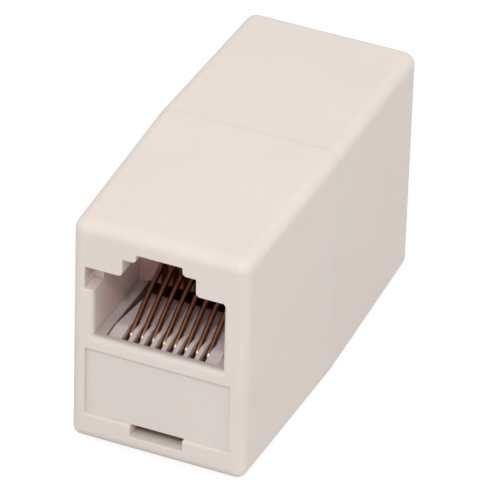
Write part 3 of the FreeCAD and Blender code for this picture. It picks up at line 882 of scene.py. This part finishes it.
def wire_line(h, w):
    """The heights and turning points of a contact wire's centre line, as (depth, height)."""
    leg = -w.leg_drop
    nose = (w.bend_depth - w.bend_radius, leg + w.bend_radius)
    start = (w.bend_depth - w.bend_radius * math.sin(w.rise), nose[1] + w.bend_radius * math.cos(w.rise))
    bow_start = start[1] + (w.bow_depth - start[0]) * math.tan(w.rise)
    centre = np.array((w.bow_depth + w.bow_radius * math.sin(w.rise),
                       bow_start - w.bow_radius * math.cos(w.rise)))
    tip_depth = h.socket_depth + FIT_GAP + w.tip_reach
    slope = np.linspace(math.asin((centre[0] - tip_depth) / w.bow_radius), w.rise, BEND_STEPS + 1)
    bow = centre + w.bow_radius * np.stack((-np.sin(slope), np.cos(slope)), axis=1)
    return SimpleNamespace(leg=leg, nose=nose, start=start, bow=bow, tip=bow[0])


def wire_path(h, w, stepped):
    """A contact's centre line from bowed tip to tail: straight runs and arcs, as (depth, height) points.

    An arc's point at an angle is its centre plus the bend's radius in that direction.
    """
    wire = wire_line(h, w)
    board_front = -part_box("link_board")[1].y / MM + HALF_LENGTH
    board_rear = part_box("link_board")[1].y / MM + HALF_LENGTH
    start, bow_end = np.array(wire.start), wire.bow[-1]
    bend = math.pi / 2 + w.rise + (math.pi - w.rise) * np.linspace(0, 1, BEND_STEPS + 1)
    centre = np.array((w.bend_depth, wire.nose[1]))
    runs = [wire.bow, bow_end + (start - bow_end) * np.linspace(0, 1, RUN_STEPS + 1)[1:-1, None],
            centre + w.bend_radius * np.stack((np.cos(bend), np.sin(bend)), axis=1)]
    end_depth = board_rear + w.stick_out
    if stepped:
        turn = np.linspace(0, w.tail_turn, EDGE_STEPS + 1)[:, None]
        r = w.tail_corner
        curve = np.hstack((r * np.sin(turn), r * (1 - np.cos(turn))))
        last = np.array((board_front - w.tail_straight, wire.leg + w.tail_step))
        upper = last - curve[::-1]
        slope = (w.tail_step - 2 * curve[-1, 1]) / math.tan(w.tail_turn)
        lower = np.array((upper[0, 0] - slope - curve[-1, 0], wire.leg)) + curve
        runs += [lower, upper, np.array(((end_depth, last[1]),))]
    else:
        runs.append(np.array(((end_depth, wire.leg),)))
    return np.concatenate(runs)


def contact_wire(h, w, x, stepped):
    """A round wire carried along the contact's line, with a domed tip and a domed tail.

    A ring's point is the line's point plus the radius times (the across direction times cos b, plus the
    line's normal times sin b). Over each dome the rings shrink with the cosine and advance with the sine.
    """
    path = wire_path(h, w, stepped)
    heading = np.gradient(path, axis=0)
    heading /= np.linalg.norm(heading, axis=1)[:, None]
    dome = np.linspace(0, math.pi / 2, DOME_STEPS + 1)[1:, None]
    head = path[0] - heading[0] * w.radius * np.sin(dome[::-1]) + heading[0] * w.radius
    tail = path[-1] + heading[-1] * w.radius * (np.sin(dome) - 1)
    path[0] = path[0] + heading[0] * w.radius
    path[-1] = path[-1] - heading[-1] * w.radius
    centres = np.concatenate((head, path, tail))
    headings = np.pad(heading, ((DOME_STEPS, DOME_STEPS), (0, 0)), "edge")
    ring = np.concatenate((np.cos(dome[::-1, 0]), np.ones(len(path)), np.cos(dome[:, 0]))) * w.radius
    angle = np.linspace(0, 2 * math.pi, WIRE_SIDES, endpoint=False)
    normal = np.stack((-headings[:, 1], headings[:, 0]), axis=1)
    across = x + ring[:, None] * np.cos(angle)
    plan = centres[:, None] + (ring[:, None] * np.sin(angle))[..., None] * normal[:, None]
    surface = Surface()
    surface.grid(np.stack((across, plan[..., 0], plan[..., 1]), axis=-1))
    return surface


# Operators


def piece_sizes(context):
    """The settings of the housing, the carriers, the trays and the contacts."""
    scene = context.scene
    return [sizes(group) for group in (scene.coupler_housing, scene.coupler_carrier, scene.coupler_tray,
                                       scene.coupler_contacts)]


class COUPLER_OT_shells(bpy.types.Operator):
    """Build the two half shells of the housing"""
    bl_idname = "coupler.shells"
    bl_label = "Half shells"

    def execute(self, context):
        h = sizes(context.scene.coupler_housing)
        material = plastic("housing plastic", h, HOUSING_PAINTED_SHADE)
        for end in ENDS:
            make_piece("shell", half_shell(h, end), end, "half_shell", material)
        return {"FINISHED"}


class COUPLER_OT_carriers(bpy.types.Operator):
    """Build the contact carriers, whose panels show in the windows"""
    bl_idname = "coupler.carriers"
    bl_label = "Contact carriers"

    def execute(self, context):
        h, c, _, w = piece_sizes(context)
        material = plastic("carrier plastic", c, CARRIER_PAINTED_SHADE)
        for end in ENDS:
            make_piece("carrier", contact_carrier(h, c, w), end, "contact_carrier", material)
        return {"FINISHED"}


class COUPLER_OT_trays(bpy.types.Operator):
    """Build the grooved wire trays in the sockets' floors"""
    bl_idname = "coupler.trays"
    bl_label = "Wire trays"

    def execute(self, context):
        h, c, t, w = piece_sizes(context)
        material = plastic("tray plastic", t, TRAY_PAINTED_SHADE)
        for end in ENDS:
            make_piece("tray", wire_tray(h, c, t, w), end, "wire_tray", material)
        return {"FINISHED"}


class COUPLER_OT_contacts(bpy.types.Operator):
    """Build the spring contacts of both sockets"""
    bl_idname = "coupler.contacts"
    bl_label = "Spring contacts"

    def execute(self, context):
        h, _, _, w = piece_sizes(context)
        material = gold_wire("contact gold", w)
        for end in ENDS:
            for number, x in enumerate(contact_places(w), 1):
                make_piece("spring_%d" % number, contact_wire(h, w, x, number % 2 == 1), end,
                           "contact_%d" % number, material, mark_sides=True)
        return {"FINISHED"}


class COUPLER_OT_inside(bpy.types.Operator):
    """Give the link board and its solder joints their finish"""
    bl_idname = "coupler.inside"
    bl_label = "Link board"

    def execute(self, context):
        group = context.scene.coupler_inside
        finishes = {"link_board": solder_resist("solder resist", group.board_colour)}
        solder = tin("solder", group.solder_colour)
        finishes.update({end + "_solder_joints": solder for end in ENDS})
        for name, material in finishes.items():
            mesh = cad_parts[name].data
            mesh.materials.clear()
            mesh.materials.append(material)
        return {"FINISHED"}


class COUPLER_OT_stage(bpy.types.Operator):
    """Set the pale floor, the studio lamps and the camera"""
    bl_idname = "coupler.stage"
    bl_label = "Stage"

    def execute(self, context):
        group = context.scene.coupler_stage
        self.floor(group)
        self.lamps(context, group)
        self.camera(context, group)
        context.scene.view_settings.view_transform = "Standard"
        return {"FINISHED"}

    def floor(self, group):
        """A wide flat disc: a ring's point is (radius cos a, radius sin a), with ever larger radii."""
        surface = Surface()
        angle = np.linspace(0, 2 * math.pi, FLOOR_SIDES, endpoint=False)
        radius = np.array(FLOOR_RINGS)[:, None] * group.floor_size / 2
        surface.grid(np.stack((radius * np.cos(angle), radius * np.sin(angle), 0 * radius * angle), axis=-1))
        nodes = Nodes.material("pale floor")
        path = nodes.add("ShaderNodeLightPath")
        plain = nodes.add("ShaderNodeBsdfDiffuse", {"Color": (*group.floor_colour, 1)})
        seen = nodes.add("ShaderNodeBsdfDiffuse", {"Color": (0.17, 0.17, 0.17, 1)})
        white = nodes.add("ShaderNodeEmission", {"Color": (1, 1, 1, 1), "Strength": 0.88})
        shown = nodes.add("ShaderNodeAddShader", {0: seen.outputs[0], 1: white.outputs[0]})
        material = nodes.finish("ShaderNodeMixShader", {0: path.outputs["Is Camera Ray"],
                                                        1: plain.outputs[0], 2: shown.outputs[0]})
        mesh, _ = closed_mesh("floor", surface.points[0], surface.faces, material)
        floor = linked("floor", mesh)

    def lamps(self, context, group):
        """A key lamp in front and above, a cool one in front, a soft one at the right, and a white sky."""
        target = Vector((0, 0, AXIS_Z * MM))
        for name, direction, distance, size, power, colour in (
                ("key lamp", (0.195, -0.66, 0.72), 0.4, group.key_size, group.key_power, (1.0, 0.985, 0.97)),
                ("front lamp", (0.1, -0.95, 0.3), 1.0, 0.05, group.front_power, (0.85, 0.94, 1.0)),
                ("side lamp", (0.95, 0.3, 0.2), 1.0, 0.35, group.side_power, (1.0, 0.98, 0.96))):
            lamp = bpy.data.lights.new(name, "AREA")
            lamp.shape, lamp.size, lamp.energy, lamp.color = "DISK", size, power, colour
            holder = linked(name, lamp)
            holder.location = target + Vector(direction).normalized() * distance
            holder.rotation_euler = (holder.location - target).to_track_quat("Z", "Y").to_euler()
        nodes = Nodes(bpy.data.worlds.new("studio"), "ShaderNodeOutputWorld")
        light = nodes.add("ShaderNodeBackground", {"Color": (1.0, 0.985, 0.965, 1), "Strength": group.sky})
        white = nodes.add("ShaderNodeBackground", {"Color": (1, 1, 1, 1), "Strength": 1.0})
        seen = nodes.add("ShaderNodeLightPath").outputs["Is Camera Ray"]
        context.scene.world = nodes.finish(
            "ShaderNodeMixShader", {0: seen, 1: light.outputs[0], 2: white.outputs[0]})

    def camera(self, context, group):
        """The photograph's view: a long lens from the front right, above the coupler."""
        data = bpy.data.cameras.new("camera")
        data.sensor_width, data.lens = 36, group.lens
        data.shift_x, data.shift_y = CAMERA_SHIFT
        data.clip_start, data.clip_end = 0.05, 10
        back = CAMERA_RIGHT.cross(-CAMERA_DOWN).normalized()
        up = back.cross(CAMERA_RIGHT).normalized()
        camera = linked("camera", data)
        camera.matrix_world = Matrix.Translation(CAMERA_PLACE) @ Matrix(
            (CAMERA_RIGHT.normalized(), up, back)).transposed().to_4x4()
        context.scene.camera = camera


class COUPLER_PT_panel(bpy.types.Panel):
    """The coupler's pieces and their sizes and colours"""
    bl_idname = "COUPLER_PT_panel"
    bl_label = "Inline coupler"
    bl_space_type = "VIEW_3D"
    bl_region_type = "UI"
    bl_category = "Coupler"

    def draw(self, context):
        for operator, name, _ in STEPS:
            box = self.layout.box()
            box.operator(operator.bl_idname)
            settings = getattr(context.scene, name)
            for prop in own_settings(settings):
                box.prop(settings, prop.identifier)


# Each step's operator, with the name and the class of its settings
STEPS = ((COUPLER_OT_shells, "coupler_housing", HousingSettings),
         (COUPLER_OT_carriers, "coupler_carrier", CarrierSettings),
         (COUPLER_OT_trays, "coupler_tray", TraySettings),
         (COUPLER_OT_contacts, "coupler_contacts", ContactSettings),
         (COUPLER_OT_inside, "coupler_inside", InsideSettings),
         (COUPLER_OT_stage, "coupler_stage", StageSettings))


def register():
    for operator, name, group in STEPS:
        bpy.utils.register_class(group)
        bpy.utils.register_class(operator)
        setattr(bpy.types.Scene, name, PointerProperty(type=group))
    bpy.utils.register_class(COUPLER_PT_panel)


def unregister():
    bpy.utils.unregister_class(COUPLER_PT_panel)
    for operator, name, group in reversed(STEPS):
        delattr(bpy.types.Scene, name)
        bpy.utils.unregister_class(operator)
        bpy.utils.unregister_class(group)


def main():
    """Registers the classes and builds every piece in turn."""
    register()
    for operator, _, _ in STEPS:
        getattr(bpy.ops.coupler, operator.bl_idname.split(".")[1])()


if __name__ == "__main__":
    main()
